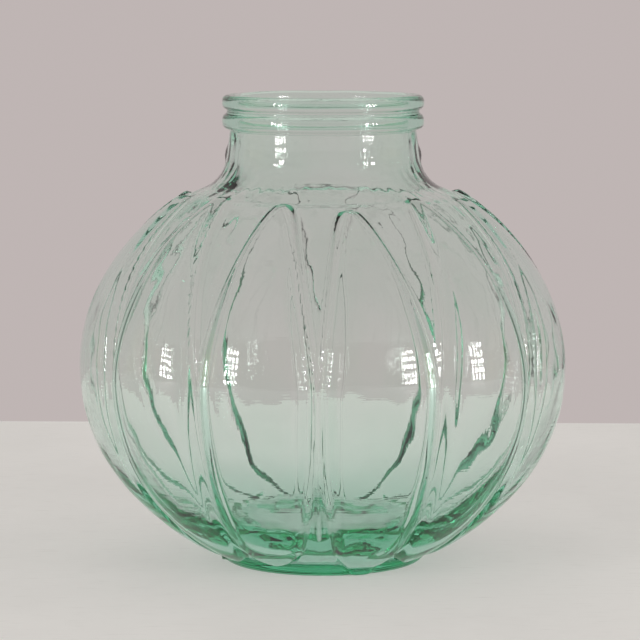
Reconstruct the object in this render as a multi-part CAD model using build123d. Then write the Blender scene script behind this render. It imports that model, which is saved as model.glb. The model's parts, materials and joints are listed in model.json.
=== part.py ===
"""Lobed glass carboy, moulded in one piece: a round body of twelve upright lobes on a thick
foot, a smooth shoulder, and a short wide neck with two beads. Millimetres, +Z up, with the
origin at the centre of the base, on the surface that the carboy stands on."""

from build123d import *
import os

# Body: the smooth core and the crests of the lobes follow two ellipses about one centre.
BELLY_HEIGHT = 98.8
CORE_RADIUS = 113.5
CORE_HALF_HEIGHT = 104.4
CREST_RADIUS = 122.4
CREST_HALF_HEIGHT = 102.9
LOBE_COUNT = 12
LOBE_AXIS_RADIUS = 71.0
LOBE_TIP_REACH = 82.2

# Thickness of the glass. It grows below the belly, because the inside is less deep there than
# the outside, and the inside's floor cuts it off flat.
WALL = 2.8
INSIDE_DEPTH = 94.0
INSIDE_LOBE_END_REACH = 75.0
BASE_THICKNESS = 12.0

# Foot: a low thick disc, with a flat bearing ring round a shallow push-up underneath.
FOOT_RADIUS = 51.0
PUSH_UP_RADIUS = 38.0
PUSH_UP_RISE = 3.0

# Neck, which tapers from the shoulder up to the lower bead, and its straight bore.
TOTAL_HEIGHT = 232.5
BORE_RADIUS = 42.5
NECK_FOOT_RADIUS = 49.4
NECK_FOOT_HEIGHT = 190.5
NECK_RADIUS = 45.9

# The two beads round the mouth, and the groove between them.
RIM_BEAD_RADIUS = 50.0
RIM_BEAD_HEIGHT = 7.0
LOWER_BEAD_RADIUS = 50.0
LOWER_BEAD_HEIGHT = 7.4
LOWER_BEAD_CENTRE = 219.2
LOWER_BEAD_BOTTOM = LOWER_BEAD_CENTRE - LOWER_BEAD_HEIGHT / 2
BEAD_GROOVE_RADIUS = 47.6

# Roundings.
LIP_ROUNDING = 2.6
BEAD_ROUNDING = 0.9
SHOULDER_ROUNDING = 18.0
INNER_SHOULDER_ROUNDING = 24.0
HEEL_ROUNDING = 3.5
FOOT_JOINT_ROUNDING = 2.5
FLOOR_ROUNDING = 14.0

# Where the seams of the spun surfaces lie: a lobe's is buried in the core, and the core's is
# off the lines of symmetry.
LOBE_SEAM_TURN = 180
CORE_SEAM_TURN = 7

# Longer than the carboy in every direction.
FAR = 2 * TOTAL_HEIGHT


def beyond(limit):
    """The half-plane outside the upright line at this radius."""
    side = Rectangle(FAR, 2 * FAR, align=(Align.MIN, Align.CENTER))
    return Pos(limit, 0) * side


def above(level):
    """The half-plane above this height."""
    side = Rectangle(2 * FAR, FAR, align=(Align.CENTER, Align.MIN))
    return Pos(0, level) * side


def belly_ellipse(radius, half_height):
    return Pos(0, BELLY_HEIGHT) * Ellipse(radius, half_height)


def inside_oval(radius, half_height):
    """The belly's ellipse with its lower half squashed to the depth of the inside."""
    upper = belly_ellipse(radius, half_height) & above(BELLY_HEIGHT)
    lower = belly_ellipse(radius, INSIDE_DEPTH) - above(BELLY_HEIGHT)
    return upper + lower


def rounded(section, radius, height, rounding):
    """The section with its corner nearest to this radius and height rounded."""
    corner = section.vertices().sort_by_distance((radius, height, 0))[0]
    return fillet(corner, rounding)


def spun(section, seam_turn):
    """The solid that an upright half section sweeps round +Z, with its seam at this turn."""
    return Rot(0, 0, seam_turn) * revolve(Plane.XZ * section, axis=Axis.Z)


def neck_section():
    """The neck as solid glass out to its surface, with both beads."""
    section = Polygon(
        (0, BELLY_HEIGHT),
        (NECK_FOOT_RADIUS, BELLY_HEIGHT),
        (NECK_FOOT_RADIUS, NECK_FOOT_HEIGHT),
        (NECK_RADIUS, LOWER_BEAD_BOTTOM),
        (NECK_RADIUS, LOWER_BEAD_CENTRE),
        (BEAD_GROOVE_RADIUS, LOWER_BEAD_CENTRE),
        (BEAD_GROOVE_RADIUS, TOTAL_HEIGHT),
        (0, TOTAL_HEIGHT),
        align=None,
    )
    lower_bead = Ellipse(LOWER_BEAD_RADIUS - NECK_RADIUS, LOWER_BEAD_HEIGHT / 2)
    section += Pos(NECK_RADIUS, LOWER_BEAD_CENTRE) * lower_bead
    rim_bead = RectangleRounded(
        2 * RIM_BEAD_RADIUS, RIM_BEAD_HEIGHT, LIP_ROUNDING, align=(Align.CENTER, Align.MAX)
    )
    return section + Pos(0, TOTAL_HEIGHT) * rim_bead


def outer_section():
    """Half section of the smooth outer form, without the lobes."""
    core = belly_ellipse(CORE_RADIUS, CORE_HALF_HEIGHT)
    foot = Rectangle(2 * FOOT_RADIUS, 2 * BASE_THICKNESS)
    section = (core + neck_section() + foot) & beyond(0) & above(0)
    section = rounded(section, NECK_FOOT_RADIUS, NECK_FOOT_HEIGHT, SHOULDER_ROUNDING)
    section = rounded(section, NECK_RADIUS, LOWER_BEAD_BOTTOM, BEAD_ROUNDING)
    section = rounded(section, BEAD_GROOVE_RADIUS, LOWER_BEAD_CENTRE, BEAD_ROUNDING)
    section = rounded(section, BEAD_GROOVE_RADIUS, TOTAL_HEIGHT - RIM_BEAD_HEIGHT, BEAD_ROUNDING)
    section = rounded(section, FOOT_RADIUS, BASE_THICKNESS / 2, FOOT_JOINT_ROUNDING)
    section = rounded(section, FOOT_RADIUS, 0, HEEL_ROUNDING)
    dome_radius = (PUSH_UP_RADIUS**2 + PUSH_UP_RISE**2) / (2 * PUSH_UP_RISE)
    return section - Pos(0, PUSH_UP_RISE - dome_radius) * Circle(dome_radius)


def cavity_section():
    """Half section of the smooth inside: belly and floor, bore, and the space over the mouth."""
    belly = inside_oval(CORE_RADIUS - WALL, CORE_HALF_HEIGHT - WALL)
    belly = belly & beyond(0) & above(BASE_THICKNESS)
    bore = Rectangle(BORE_RADIUS, TOTAL_HEIGHT - BELLY_HEIGHT, align=(Align.MIN, Align.MIN))
    mouth = Rectangle(RIM_BEAD_RADIUS, RIM_BEAD_HEIGHT, align=(Align.MIN, Align.MIN))
    section = belly + Pos(0, BELLY_HEIGHT) * bore + Pos(0, TOTAL_HEIGHT) * mouth
    section = rounded(section, BORE_RADIUS, NECK_FOOT_HEIGHT, INNER_SHOULDER_ROUNDING)
    section = rounded(section, BORE_RADIUS, TOTAL_HEIGHT, LIP_ROUNDING)
    return rounded(section, CORE_RADIUS / 2, BASE_THICKNESS, FLOOR_ROUNDING)


def lobes(oval, tip_reach, end_reach):
    """The twelve lobes, each spun about its own upright axis from this oval.

    Spheres round the middle of that axis, with these two radii, blunt their upper and lower ends.
    """
    tip = Circle(tip_reach) & Rectangle(FAR, FAR, align=(Align.CENTER, Align.MIN))
    end = Circle(end_reach) & Rectangle(FAR, FAR, align=(Align.CENTER, Align.MAX))
    section = oval & Pos(LOBE_AXIS_RADIUS, BELLY_HEIGHT) * (tip + end)
    section = Pos(-LOBE_AXIS_RADIUS, 0) * (section & beyond(LOBE_AXIS_RADIUS))
    lobe = Pos(LOBE_AXIS_RADIUS, 0, 0) * spun(section, LOBE_SEAM_TURN)
    step = 360 / LOBE_COUNT
    return [Rot(0, 0, step * (turn + 0.5)) * lobe for turn in range(LOBE_COUNT)]


def glass_vessel():
    """The whole carboy: lobed body and neck, less the lobed inside and the bore."""
    crest = belly_ellipse(CREST_RADIUS, CREST_HALF_HEIGHT)
    inner_crest = inside_oval(CREST_RADIUS - WALL, CREST_HALF_HEIGHT - WALL)
    body = spun(outer_section(), CORE_SEAM_TURN) + lobes(crest, LOBE_TIP_REACH, LOBE_TIP_REACH)
    inner_lobes = lobes(inner_crest, LOBE_TIP_REACH - WALL, INSIDE_LOBE_END_REACH)
    cavity = spun(cavity_section(), CORE_SEAM_TURN) + inner_lobes
    return body - cavity


os.makedirs("parts", exist_ok=True)
vessel = glass_vessel()
export_step(vessel, "parts/glass_vessel.step")
print(f"glass {vessel.volume / 1000:.0f} ml, valid {vessel.is_valid}")
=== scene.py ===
"""Looks of the lobed glass carboy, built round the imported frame. Metres, +Z up."""
import json
import math

import bpy
import numpy as np
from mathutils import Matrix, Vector


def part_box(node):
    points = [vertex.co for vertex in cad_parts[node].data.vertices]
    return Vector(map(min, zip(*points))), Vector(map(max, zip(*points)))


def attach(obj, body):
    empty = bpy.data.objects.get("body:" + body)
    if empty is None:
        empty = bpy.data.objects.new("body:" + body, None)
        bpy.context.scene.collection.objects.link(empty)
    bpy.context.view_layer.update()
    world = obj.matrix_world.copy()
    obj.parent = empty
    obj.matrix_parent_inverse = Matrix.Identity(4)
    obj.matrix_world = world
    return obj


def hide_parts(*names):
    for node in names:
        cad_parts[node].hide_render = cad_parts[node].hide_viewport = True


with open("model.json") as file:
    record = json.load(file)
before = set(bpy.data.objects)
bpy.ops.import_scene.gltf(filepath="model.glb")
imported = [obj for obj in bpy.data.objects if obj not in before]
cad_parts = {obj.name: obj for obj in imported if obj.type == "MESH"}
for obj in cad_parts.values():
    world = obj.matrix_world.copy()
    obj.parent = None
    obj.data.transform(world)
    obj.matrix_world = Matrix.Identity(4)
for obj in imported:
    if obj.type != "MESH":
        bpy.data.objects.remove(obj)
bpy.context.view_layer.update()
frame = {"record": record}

vessel_low, vessel_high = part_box("glass_vessel")
mounts = {m["name"]: m for m in frame["record"]["mounts"]}

MM = 0.001
SEED = 12

# --- The vessel's form -----------------------------------------------------------------------

RIM_TOP = vessel_high.z
BORE_RADIUS = mounts["mouth_bore"]["dims"]["r_mm"] * MM

BELLY_HEIGHT = 98.8 * MM
CORE_RADIUS = 113.5 * MM
CORE_HALF_HEIGHT = 104.4 * MM
CREST_RADIUS = 122.4 * MM
CREST_HALF_HEIGHT = 102.9 * MM
WALL = 2.8 * MM
CREST_THINNING = 0.5 * MM
INSIDE_DEPTH = 94 * MM
FLOOR_TOP = 12 * MM
FOOT_RADIUS = 51 * MM
PUSH_UP_RADIUS = 38 * MM
PUSH_UP_RISE = 3 * MM
NECK_FOOT = (49.4 * MM, RIM_TOP - 42 * MM)
NECK_RADIUS = 45.9 * MM
NECK_TOP = RIM_TOP - 17 * MM
BEAD_RADIUS = 50 * MM
BEAD_GROOVE_RADIUS = 47.6 * MM

# The lobes: pointed above, blunt below, and nearly touching at the belly. They rise from the
# smooth core over a side of this width, which is steeper near the tips, and they stand out a
# little further towards their ends.
LOBE_COUNT = 12
LOBE_HALF_WIDTH = math.radians(14.6)
LOBE_TIP_RISE = 84 * MM
LOBE_END_DROP = 93.5 * MM
LOBE_SIDE = 4.5 * MM
LOBE_TIP_STEEPENING = 1.2 * MM
LOBE_TIP_EXTRA = 2.0 * MM
LOBE_END_EXTRA = 1.0 * MM
LOBE_HANG = 1.6 * MM
LOBE_CREASE = 1.2 * MM

# Inside, the sides are softer, and have come this far out where the outside's only begin.
INSIDE_LOBE_SIDE = 12 * MM
INSIDE_TIP_STEEPENING = 6.5 * MM
INSIDE_LOBE_START = 1.8 * MM
INSIDE_LOBE_CREASE = 1.8 * MM

# Each lobe's tip and end lean and sit a little out of true, as moulded glass does.
LOBE_LEANS = np.radians([0.8, -0.5, 0.4, 1.2, -1.0, 0.6, -0.4, -1.1, 0.0, -4.2, -3.0, -1.2])
LOBE_END_LEANS = np.radians([1.0, 0.0, -1.0, 1.5, 0.0, -1.0, 0.5, -4.0, -7.5, 7.0, 4.0, 1.5])
LOBE_TIP_OFFSETS = np.array([0.5, -1.0, 0.8, -0.6, 1.2, -0.4, 0.3, 2.0, 0.0, -2.4, 1.6, -0.8]) * MM
LOBE_END_OFFSETS = np.array([0.5, -1.0, 1.0, 0.0, -0.8, 0.6, 1.0, -0.5, -2.0, 2.8, -0.5, 0.4]) * MM

# The lobes lie between these two rises, seen from the belly's centre, and the foot's upright
# edge is this high.
LOBED_TOP = math.radians(64)
LOBED_BOTTOM = math.radians(-66)
FOOT_EDGE = 3 * MM

# Unevenness of the surfaces: long waves, short waves, and rings round the neck.
OUTSIDE_RIPPLE = (0.07 * MM, 0.03 * MM, 0.03 * MM)
INSIDE_RIPPLE = (0.2 * MM, 0.025 * MM, 0.012 * MM)

# The two seams of the mould, and the lug that each one leaves on the neck.
SEAM_HEIGHT = 0.12 * MM
SEAM_WIDTH = 0.5 * MM
LUG_HEIGHT = 0.9 * MM
LUG_WIDTH = 2.6 * MM
LUG_BOTTOM = RIM_TOP - 33 * MM
LUG_TOP = RIM_TOP - 25 * MM
LUG_LEAD_OUT = 1.5 * MM
LUG_LEAD_IN = 3 * MM


def oval_run(full_radius, depth, rise, low_radius, high_radius, count):
    """Points up an oval of two half ellipses, from below the belly's centre to above it."""
    start = -math.acos(low_radius / full_radius)
    end = math.acos(high_radius / full_radius)
    turns = np.linspace(start, end, count)
    heights = np.where(turns < 0, depth, rise) * np.sin(turns)
    return list(zip(full_radius * np.cos(turns), BELLY_HEIGHT + heights))


def ellipse_height(radius, full_radius, half_height):
    """Height above the belly's centre at which an ellipse has this radius."""
    return half_height * math.sqrt(1 - (radius / full_radius) ** 2)


def ellipse_reach(rise, full_radius, half_height):
    """Distance from the belly's centre to an ellipse, in a direction with this rise."""
    return 1 / np.sqrt((np.cos(rise) / full_radius) ** 2 + (np.sin(rise) / half_height) ** 2)


def corner_arc(before, corner, after, rounding):
    """Points of the arc that rounds one corner of an outline."""
    corner = np.array(corner)
    to_before = np.array(before) - corner
    to_after = np.array(after) - corner
    to_before /= np.linalg.norm(to_before)
    to_after /= np.linalg.norm(to_after)
    half = math.acos(np.clip(to_before @ to_after, -1, 1)) / 2
    centre_way = to_before + to_after
    centre = corner + centre_way / np.linalg.norm(centre_way) * rounding / math.sin(half)
    start = corner + to_before * rounding / math.tan(half) - centre
    end = corner + to_after * rounding / math.tan(half) - centre
    sweep = math.pi - 2 * half
    shares = np.linspace(0, 1, max(3, int(sweep / math.radians(4))))
    return [
        tuple(centre + (math.sin((1 - s) * sweep) * start + math.sin(s * sweep) * end) / math.sin(sweep))
        for s in shares
    ]


def rounded_outline(corners):
    """An outline of (radius, height, rounding) corners, with each rounded corner as its arc."""
    points = []
    for i, (radius, height, rounding) in enumerate(corners):
        if rounding == 0:
            points.append((radius, height))
        else:
            points += corner_arc(corners[i - 1][:2], (radius, height), corners[i + 1][:2], rounding)
    return np.array(points)


def vessel_corners():
    """The half section from the underside's centre, up the outside and down the inside."""
    dome = [
        (r, PUSH_UP_RISE * (1 - (r / PUSH_UP_RADIUS) ** 2), 0)
        for r in np.linspace(0, PUSH_UP_RADIUS, 12)
    ]
    foot_joint = BELLY_HEIGHT - ellipse_height(FOOT_RADIUS, CORE_RADIUS, CORE_HALF_HEIGHT)
    foot = [(FOOT_RADIUS, 0, 3.5 * MM), (FOOT_RADIUS, foot_joint, 1.8 * MM)]
    outside = oval_run(CORE_RADIUS, CORE_HALF_HEIGHT, CORE_HALF_HEIGHT, 55 * MM, 67 * MM, 90)
    neck = [
        (*NECK_FOOT, 18 * MM),
        (NECK_RADIUS, NECK_TOP, 1.0 * MM),
        (BEAD_RADIUS, NECK_TOP + 0.4 * MM, 2.9 * MM),
        (BEAD_RADIUS, NECK_TOP + 7.4 * MM, 2.9 * MM),
        (BEAD_GROOVE_RADIUS, NECK_TOP + 7.8 * MM, 1.0 * MM),
        (BEAD_GROOVE_RADIUS, RIM_TOP - 7.2 * MM, 1.0 * MM),
        (BEAD_RADIUS, RIM_TOP - 6.8 * MM, 2.6 * MM),
        (BEAD_RADIUS, RIM_TOP, 3.0 * MM),
        (BORE_RADIUS, RIM_TOP, 2.6 * MM),
    ]
    inner_radius = CORE_RADIUS - WALL
    inner_half = CORE_HALF_HEIGHT - WALL
    inside = oval_run(inner_radius, INSIDE_DEPTH, inner_half, 48 * MM, 66 * MM, 90)[::-1]
    bore_foot = BELLY_HEIGHT + ellipse_height(BORE_RADIUS, inner_radius, inner_half)
    drop = BELLY_HEIGHT - FLOOR_TOP
    floor_radius = inner_radius * math.sqrt(1 - (drop / INSIDE_DEPTH) ** 2)
    return (
        dome
        + foot
        + [(r, z, 0) for r, z in outside]
        + neck
        + [(BORE_RADIUS, bore_foot, 24 * MM)]
        + [(r, z, 0) for r, z in inside]
        + [(floor_radius, FLOOR_TOP, 14 * MM), (0, FLOOR_TOP, 0)]
    )


def spaced(points, step):
    """The same path with points this far apart."""
    lengths = np.r_[0, np.cumsum(np.linalg.norm(np.diff(points, axis=0), axis=1))]
    places = np.linspace(0, lengths[-1], int(lengths[-1] / step) + 1)
    return np.stack([np.interp(places, lengths, points[:, k]) for k in (0, 1)], axis=1)


def fire_polished(points, step, softness):
    """The path with its corners softened, as by the flame, and its ends kept on the axis."""
    reach = int(4 * softness / step)
    offsets = np.arange(-reach, reach + 1) * step
    weights = np.exp(-0.5 * (offsets / softness) ** 2)
    weights /= weights.sum()
    before = points[1 : reach + 1][::-1] * (-1, 1)
    after = points[-reach - 1 : -1][::-1] * (-1, 1)
    padded = np.vstack([before, points, after])
    soft = np.stack([np.convolve(padded[:, k], weights, mode="valid") for k in (0, 1)], axis=1)
    soft[0, 0] = soft[-1, 0] = 0
    return soft


def thinned(points, step, turn_step, outer_step, inner_step):
    """Rows for the mesh: closer together on the outside, and where the path turns."""
    ways = np.diff(points, axis=0)
    angles = np.unwrap(np.arctan2(ways[:, 1], ways[:, 0]))
    curve = np.convolve(np.abs(np.gradient(angles)) / step, np.ones(9) / 9, mode="same")
    outside = np.arange(len(curve)) < np.argmax(points[:, 1])
    density = np.maximum(np.where(outside, 1 / outer_step, 1 / inner_step), curve / turn_step)
    total = np.r_[0, np.cumsum(density * step)]
    places = np.linspace(0, total[-1], int(total[-1]) + 2)
    index = np.interp(places, total, np.arange(len(points)))
    return np.stack([np.interp(index, np.arange(len(points)), points[:, k]) for k in (0, 1)], axis=1)


def vessel_rows():
    """The half section as the mesh's rows."""
    step = 0.1 * MM
    path = fire_polished(spaced(rounded_outline(vessel_corners()), step), step, 0.4 * MM)
    return thinned(path, step, math.radians(9), 1.3 * MM, 1.6 * MM)


def column_turns(per_lobe):
    """Turns of the mesh's columns, closer together at the grooves between lobes."""
    pitch = math.tau / LOBE_COUNT
    even = np.arange(per_lobe) / per_lobe
    shares = even - 0.4 * np.sin(math.tau * even) / math.tau
    return np.concatenate([(lobe + shares) * pitch for lobe in range(LOBE_COUNT)])


def smooth_max(a, b, width):
    """The larger of two values, with the crease between them filled over this width."""
    overlap = np.maximum(width - np.abs(a - b), 0)
    return np.maximum(a, b) + overlap**2 / (4 * width)


def signed_power(base, power):
    return np.sign(base) * np.abs(base) ** power


def smooth_step(value, low, high):
    """0 up to the low value and 1 from the high one, with a smooth rise between."""
    share = np.clip((value - low) / (high - low), 0, 1)
    return share * share * (3 - 2 * share)


def lobe_half_width(up, tip_rise, end_drop):
    """Half the width of a lobe, as a turn, at heights over the belly's centre."""
    above = 1 - np.clip(up / tip_rise, 0, None) ** 1.2
    below = 1 - np.clip(-up / end_drop, 0, None) ** 20
    return LOBE_HALF_WIDTH * signed_power(above, 0.42) * signed_power(below, 0.5)


def lobe_centre(up, lobe):
    """The turn of a lobe's middle line, which leans towards both its ends."""
    tip_lean = LOBE_LEANS[lobe] * np.clip(up / LOBE_TIP_RISE, 0, 1) ** 2
    end_lean = LOBE_END_LEANS[lobe] * np.clip(-up / LOBE_END_DROP, 0, 1) ** 3
    return math.tau * (lobe + 0.5) / LOBE_COUNT + tip_lean + end_lean


def lobe_relief(rise, turns, lobe, side, early, hang):
    """How far one lobe stands proud of the core. It is negative outside the lobe's outline.

    Its edge slopes over this side width, and has reached the early height at its outline. Low
    down it stands out further, by the hang.
    """
    core = ellipse_reach(rise, CORE_RADIUS, CORE_HALF_HEIGHT)
    crest = ellipse_reach(rise, CREST_RADIUS, CREST_HALF_HEIGHT)
    height = crest - core + np.where(rise > 0, LOBE_TIP_EXTRA, LOBE_END_EXTRA) * np.sin(rise) ** 2
    height += hang * smooth_step(-rise, math.radians(35), math.radians(60))
    up = core * np.sin(rise)
    radius = core * np.cos(rise)
    tip_rise = LOBE_TIP_RISE + LOBE_TIP_OFFSETS[lobe]
    end_drop = LOBE_END_DROP + LOBE_END_OFFSETS[lobe]
    growth = side * (1 - np.sqrt(1 - np.minimum(early / height, 0.7)))
    half_width = lobe_half_width(up, tip_rise, end_drop) * radius + growth
    along = np.r_[0, np.cumsum(np.hypot(np.diff(radius), np.diff(up)))]
    slope = np.clip(np.gradient(half_width, along), -3, 3)
    centre = lobe_centre(up, lobe)
    across = (turns[None, :] - centre[:, None] + math.pi) % math.tau - math.pi
    across = np.abs(across) * radius[:, None]
    inward = (half_width[:, None] - across) / np.sqrt(1 + slope**2)[:, None]
    crown = 0.63 * (np.clip(half_width, 0, None) / (LOBE_HALF_WIDTH * CORE_RADIUS)) ** 0.7
    share = np.clip(across / np.maximum(half_width, MM)[:, None], 0, 1)
    edge = 1 - np.clip(1 - inward / side[:, None], 0, 3) ** 2
    return height[:, None] * np.where(edge > 0, 1 - crown[:, None] * share**2, 1) * edge


def lobes_relief(rise, turns, side, early, hang, blend):
    """How far the lobes together stand proud of the core, with filled creases."""
    relief = np.full((len(rise), len(turns)), -20 * MM)
    for lobe in range(LOBE_COUNT):
        one = lobe_relief(rise, turns, lobe, side, early, hang)
        relief = smooth_max(relief, one, blend)
    return smooth_max(relief, 0, blend)


def waves(turns, along, random, count, most_turns, shortest, size):
    """Gentle unevenness of blown glass: a sum of waves round and along the wall."""
    total = np.zeros((len(along), len(turns)))
    for _ in range(count):
        round_count = random.integers(-most_turns, most_turns)
        rate = random.uniform(0.1, 1) * math.tau / shortest
        phase = random.uniform(0, math.tau)
        total += np.cos(round_count * turns[None, :] + rate * along[:, None] + phase)
    return total * size / math.sqrt(count)


def vessel_relief(radius, height, rise, turns, outer):
    """How far the lobes push out each point of the smooth form, outside and inside."""
    relief = np.zeros((len(rise), len(turns)))
    lobed = (rise < LOBED_TOP) & (rise > LOBED_BOTTOM)
    lobed &= (height > 0.3 * MM) & (height < NECK_FOOT[1])
    outside, inside = lobed & outer, lobed & ~outer
    fade = smooth_step(-rise, -LOBED_TOP, -LOBED_TOP + math.radians(4))[:, None]
    footing = np.clip(height / FOOT_EDGE, 0, 1)[:, None]
    tipward = smooth_step(rise[outside], math.radians(15), math.radians(45))
    side = LOBE_SIDE - LOBE_TIP_STEEPENING * tipward
    relief[outside] = lobes_relief(rise[outside], turns, side, 0, LOBE_HANG, LOBE_CREASE)
    relief[outside] *= fade[outside] * footing[outside]
    inner_rise = rise[inside][::-1]
    tipward = smooth_step(inner_rise, math.radians(10), math.radians(38))
    side = INSIDE_LOBE_SIDE - INSIDE_TIP_STEEPENING * tipward
    inner = lobes_relief(inner_rise, turns, side, INSIDE_LOBE_START, 0, INSIDE_LOBE_CREASE)[::-1]
    thin = CREST_THINNING / (CREST_RADIUS - CORE_RADIUS)
    depth = 1 - smooth_step(-rise, math.radians(38), math.radians(62))[:, None]
    relief[inside] = fade[inside] * inner * (1 + thin) * depth[inside]
    return relief


def vessel_ripple(radius, height, turns, along, outer):
    """The unevenness of the hand-worked surfaces, outside and inside."""
    random = np.random.default_rng(SEED)
    ripple = np.zeros((len(along), len(turns)))
    neck_start = NECK_FOOT[1] - 8 * MM
    for side, (slow, quick, ringed) in ((outer, OUTSIDE_RIPPLE), (~outer, INSIDE_RIPPLE)):
        ripple[side] = waves(turns, along[side], random, 20, 12, 65 * MM, slow)
        ripple[side] += waves(turns, along[side], random, 40, 60, 20 * MM, quick)
        rings = waves(turns, along[side], random, 30, 7, 4 * MM, ringed)
        ripple[side] += rings * smooth_step(height[side], neck_start, NECK_FOOT[1])[:, None]
    calm = smooth_step(radius, 15 * MM, 55 * MM)
    beads = smooth_step(height, NECK_TOP - 3 * MM, NECK_TOP)
    calm = np.where(height < FOOT_EDGE, 0.2, 1) * np.where(height > neck_start, 1, calm)
    return ripple * (calm * (1 - 0.4 * beads))[:, None]


def mould_seams(radius, height, turns, outer):
    """The two seams of the mould, and the lug that each one leaves on the neck."""
    seam = np.zeros((len(height), len(turns)))
    lug = smooth_step(height, LUG_BOTTOM - LUG_LEAD_OUT, LUG_BOTTOM + LUG_LEAD_IN)
    lug *= smooth_step(-height, -LUG_TOP - LUG_LEAD_OUT, -LUG_TOP + LUG_LEAD_IN)
    line = smooth_step(height, FOOT_EDGE, 2 * FOOT_EDGE)
    line *= smooth_step(-height, -NECK_TOP, -NECK_TOP + MM)
    for turn in (0, math.pi):
        across = ((turns - turn + math.pi) % math.tau - math.pi)[None, :] * radius[:, None]
        seam += LUG_HEIGHT * lug[:, None] * np.exp(-((across / LUG_WIDTH) ** 2))
        seam += SEAM_HEIGHT * line[:, None] * np.exp(-((across / SEAM_WIDTH) ** 2))
    return seam * outer[:, None]


def vessel_surface(rows, turns):
    """Grid of points: one row of points round the vessel for each row of the half section."""
    radius, height = rows[:, 0], rows[:, 1]
    outer = np.arange(len(rows)) < np.argmax(height)
    rise = np.arctan2(height - BELLY_HEIGHT, radius)
    along = np.r_[0, np.cumsum(np.linalg.norm(np.diff(rows, axis=0), axis=1))]
    push = vessel_relief(radius, height, rise, turns, outer)
    push += vessel_ripple(radius, height, turns, along, outer)
    reach = np.hypot(radius, height - BELLY_HEIGHT)[:, None] + push
    flat = reach * np.cos(rise)[:, None] + mould_seams(radius, height, turns, outer)
    z = np.maximum(BELLY_HEIGHT + reach * np.sin(rise)[:, None], 0)
    return np.stack([flat * np.cos(turns), flat * np.sin(turns), z], axis=2)


def grid_mesh(name, grid):
    """A closed mesh of the grid, whose first and last rows are points on the axis."""
    rows, columns = grid.shape[:2]
    middle = grid[1:-1].reshape(-1, 3)
    vertices = np.vstack([grid[0].mean(axis=0), middle, grid[-1].mean(axis=0)])
    ring = np.arange(columns)
    following = (ring + 1) % columns
    starts = 1 + columns * np.arange(rows - 3)[:, None]
    quads = np.stack(
        [starts + ring, starts + following, starts + columns + following, starts + columns + ring],
        axis=2,
    ).reshape(-1, 4)
    last_ring = 1 + columns * (rows - 3)
    bottom = np.stack([np.zeros(columns, int), 1 + following, 1 + ring], axis=1)
    top = np.stack([last_ring + ring, last_ring + following, np.full(columns, len(vertices) - 1)], axis=1)
    mesh = bpy.data.meshes.new(name)
    mesh.from_pydata(vertices.tolist(), [], quads.tolist() + bottom.tolist() + top.tolist())
    mesh.update()
    mesh.polygons.foreach_set("use_smooth", np.ones(len(mesh.polygons), bool))
    return mesh


# --- Materials -------------------------------------------------------------------------------


def new_material(name):
    material = bpy.data.materials.new(name)
    material.use_nodes = True
    nodes = material.node_tree.nodes
    return material, nodes, material.node_tree.links, nodes["Principled BSDF"]


def ramp(nodes, links, value, low, high):
    """A smooth step of this value, from 0 at low to 1 at high."""
    step = nodes.new("ShaderNodeMapRange")
    step.interpolation_type = "SMOOTHSTEP"
    step.inputs["From Min"].default_value = low
    step.inputs["From Max"].default_value = high
    links.new(value, step.inputs["Value"])
    return step.outputs["Result"]


def mixed(nodes, links, factor, first, second):
    """The first colour, turning into the second as the factor goes to 1."""
    mix = nodes.new("ShaderNodeMix")
    mix.data_type = "RGBA"
    links.new(factor, mix.inputs["Factor"])
    for socket, colour in ((mix.inputs[6], first), (mix.inputs[7], second)):
        if isinstance(colour, tuple):
            socket.default_value = (*colour, 1)
        else:
            links.new(colour, socket)
    return mix.outputs[2]


def stretched_noise(nodes, links, scales, detail):
    """Noise through the glass that is this many times as fine along each axis."""
    place = nodes.new("ShaderNodeTexCoord").outputs["Object"]
    stretch = nodes.new("ShaderNodeVectorMath")
    stretch.operation = "MULTIPLY"
    stretch.inputs[1].default_value = scales
    links.new(place, stretch.inputs[0])
    noise = nodes.new("ShaderNodeTexNoise")
    noise.inputs["Scale"].default_value = 1
    noise.inputs["Detail"].default_value = detail
    links.new(stretch.outputs["Vector"], noise.inputs["Vector"])
    return noise.outputs["Fac"]


def bumped(nodes, links, height, distance, strength, before=None):
    bump = nodes.new("ShaderNodeBump")
    bump.inputs["Distance"].default_value = distance
    bump.inputs["Strength"].default_value = strength
    links.new(height, bump.inputs["Height"])
    if before is not None:
        links.new(before, bump.inputs["Normal"])
    return bump.outputs["Normal"]


def green_glass():
    """Pale green glass: draw lines down the body, tool marks round the neck, and faint scuffs."""
    material, nodes, links, shader = new_material("green_glass")
    shader.inputs["Transmission Weight"].default_value = 1
    shader.inputs["IOR"].default_value = 1.5
    cloud = stretched_noise(nodes, links, (25, 25, 12), 3)
    clouded = ramp(nodes, links, cloud, 0.35, 0.65)
    tint = mixed(nodes, links, clouded, (1, 1, 1), (0.965, 0.99, 0.975))
    links.new(tint, shader.inputs["Base Color"])
    scuffs = stretched_noise(nodes, links, (260, 260, 900), 6)
    rough = nodes.new("ShaderNodeMath")
    rough.operation = "MULTIPLY"
    rough.inputs[1].default_value = 0.05
    links.new(ramp(nodes, links, scuffs, 0.62, 0.8), rough.inputs[0])
    links.new(rough.outputs["Value"], shader.inputs["Roughness"])
    draw_lines = stretched_noise(nodes, links, (330, 330, 14), 2)
    tool_marks = stretched_noise(nodes, links, (9, 9, 420), 2)
    normal = bumped(nodes, links, draw_lines, 0.05 * MM, 0.2)
    normal = bumped(nodes, links, tool_marks, 0.05 * MM, 0.6, normal)
    links.new(normal, shader.inputs["Normal"])
    absorption = nodes.new("ShaderNodeVolumeAbsorption")
    absorption.inputs["Color"].default_value = (0.0, 0.84, 0.55, 1)
    absorption.inputs["Density"].default_value = 20
    links.new(absorption.outputs["Volume"], nodes["Material Output"].inputs["Volume"])
    return material


# --- The piece -------------------------------------------------------------------------------


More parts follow.
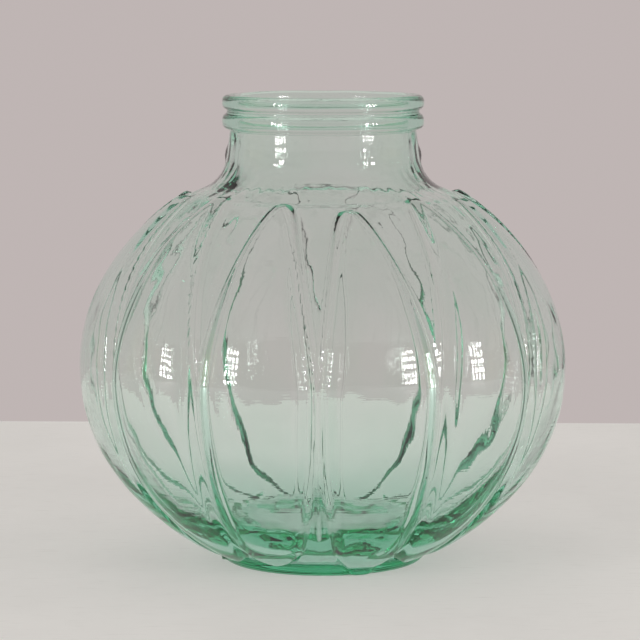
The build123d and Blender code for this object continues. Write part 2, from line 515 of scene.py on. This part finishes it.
def glass_vessel():
    turns = column_turns(48)
    grid = vessel_surface(vessel_rows(), turns)
    mesh = grid_mesh("carboy_glass", grid)
    piece = bpy.data.objects.new("carboy_glass", mesh)
    bpy.context.scene.collection.objects.link(piece)
    mesh.materials.append(green_glass())
    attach(piece, "root")
    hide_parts("glass_vessel")


# --- Studio ----------------------------------------------------------------------------------

# Windows: panes in rows and columns, whose centre is this far from the vessel and this much
# higher than its middle.
PANE_WIDTH = 0.06
PANE_HEIGHT = 0.06
PANE_GAP = 0.075
PANE_COLUMNS = 4
PANE_ROWS = 5
WINDOW_DISTANCE = 2.0
WINDOW_RISE = 0.24
WINDOW_RADIANCE = 60

WALL_COLOUR = (0.52, 0.463, 0.455)
SIDE_COLOUR = (0.60, 0.52, 0.43)
CEILING_COLOUR = (0.42, 0.40, 0.38)
ROOM_COLOUR = (0.42, 0.38, 0.34)


def floor_material():
    """A pale lime-washed board: faint clouds and fine grain in its colour, sheen and relief."""
    material, nodes, links, shader = new_material("pale_floor")
    clouds = stretched_noise(nodes, links, (9, 6, 9), 4)
    grain = stretched_noise(nodes, links, (60, 420, 60), 5)
    clouded = ramp(nodes, links, clouds, 0.3, 0.7)
    pale = mixed(nodes, links, clouded, (0.60, 0.59, 0.57), (0.66, 0.65, 0.63))
    worn = mixed(nodes, links, ramp(nodes, links, grain, 0.55, 0.8), pale, (0.56, 0.55, 0.53))
    links.new(worn, shader.inputs["Base Color"])
    rough = nodes.new("ShaderNodeMapRange")
    rough.inputs["To Min"].default_value = 0.6
    rough.inputs["To Max"].default_value = 0.85
    links.new(grain, rough.inputs["Value"])
    links.new(rough.outputs["Result"], shader.inputs["Roughness"])
    links.new(bumped(nodes, links, grain, 0.2 * MM, 0.3), shader.inputs["Normal"])
    shader.inputs["Emission Color"].default_value = (1, 0.98, 0.95, 1)
    shader.inputs["Emission Strength"].default_value = 0.3
    return material


def floor():
    level = vessel_low.z - 0.2 * MM
    far, side, near, depth = 0.44, 1.3, -1.7, 0.03
    corners = [(-side, near), (side, near), (side, far), (-side, far)]
    vertices = [(x, y, level) for x, y in corners] + [(x, y, level - depth) for x, y in corners]
    faces = [(0, 1, 2, 3), (7, 6, 5, 4)]
    faces += [(i, i + 4, (i + 1) % 4 + 4, (i + 1) % 4) for i in range(4)]
    mesh = bpy.data.meshes.new("floor")
    mesh.from_pydata(vertices, [], faces)
    mesh.materials.append(floor_material())
    made = bpy.data.objects.new("floor", mesh)
    bpy.context.scene.collection.objects.link(made)


def studio_walls():
    """A pale wall behind, warmer sides, a grey ceiling, and a dimmer room on the camera's side."""
    world = bpy.data.worlds.new("studio")
    world.use_nodes = True
    nodes, links = world.node_tree.nodes, world.node_tree.links
    direction = nodes.new("ShaderNodeTexCoord").outputs["Generated"]
    split = nodes.new("ShaderNodeSeparateXYZ")
    links.new(direction, split.inputs["Vector"])
    upward = ramp(nodes, links, split.outputs["Z"], 0.2, 0.7)
    towards = ramp(nodes, links, split.outputs["Y"], 0.1, -0.6)
    wall = mixed(nodes, links, towards, WALL_COLOUR, ROOM_COLOUR)
    sideways = nodes.new("ShaderNodeMath")
    sideways.operation = "ABSOLUTE"
    links.new(split.outputs["X"], sideways.inputs[0])
    aside = ramp(nodes, links, sideways.outputs["Value"], 0.9, 0.98)
    wall = mixed(nodes, links, aside, wall, SIDE_COLOUR)
    colour = mixed(nodes, links, upward, wall, CEILING_COLOUR)
    links.new(colour, nodes["Background"].inputs["Color"])
    bpy.context.scene.world = world


def area_light(name, place, target, width, height, radiance):
    data = bpy.data.lights.new(name, "AREA")
    data.shape = "RECTANGLE"
    data.size = width
    data.size_y = height
    data.energy = radiance * math.pi * width * height
    light = bpy.data.objects.new(name, data)
    light.location = place
    light.rotation_euler = (Vector(target) - light.location).to_track_quat("-Z", "Y").to_euler()
    light.visible_camera = False
    bpy.context.scene.collection.objects.link(light)


def window(name, azimuth, centre):
    """A window of small panes, at this turn from the front to the right, facing the vessel."""
    turn = math.radians(azimuth)
    away = Vector((math.sin(turn), -math.cos(turn), 0))
    across = Vector((math.cos(turn), math.sin(turn), 0))
    for column in range(PANE_COLUMNS):
        for row in range(PANE_ROWS):
            place = centre + away * WINDOW_DISTANCE
            place += across * (column - (PANE_COLUMNS - 1) / 2) * (PANE_WIDTH + PANE_GAP)
            place.z += WINDOW_RISE + (row - (PANE_ROWS - 1) / 2) * (PANE_HEIGHT + PANE_GAP)
            pane = f"{name}_{column}_{row}"
            area_light(pane, place, centre, PANE_WIDTH, PANE_HEIGHT, WINDOW_RADIANCE)


def studio(centre):
    floor()
    studio_walls()
    window("left_window", -52, centre)
    window("right_window", 57, centre)


def camera(centre):
    distance = 1.45
    height = 0.2945
    azimuth = math.radians(1.3)
    pitch = math.radians(6.86)
    data = bpy.data.cameras.new("camera")
    data.sensor_width = 36
    data.lens = 164.5
    data.shift_x = -0.005
    view = bpy.data.objects.new("camera", data)
    view.location = (
        centre.x + distance * math.sin(azimuth), centre.y - distance * math.cos(azimuth), height
    )
    view.rotation_euler = (math.pi / 2 - pitch, 0, azimuth)
    bpy.context.scene.collection.objects.link(view)
    bpy.context.scene.camera = view


glass_vessel()
centre = (vessel_low + vessel_high) / 2
studio(centre)
camera(centre)
scene = bpy.context.scene
scene.view_settings.view_transform = "Standard"
scene.cycles.max_bounces = 32
scene.cycles.transmission_bounces = 32
scene.cycles.glossy_bounces = 12
scene.cycles.use_denoising = True
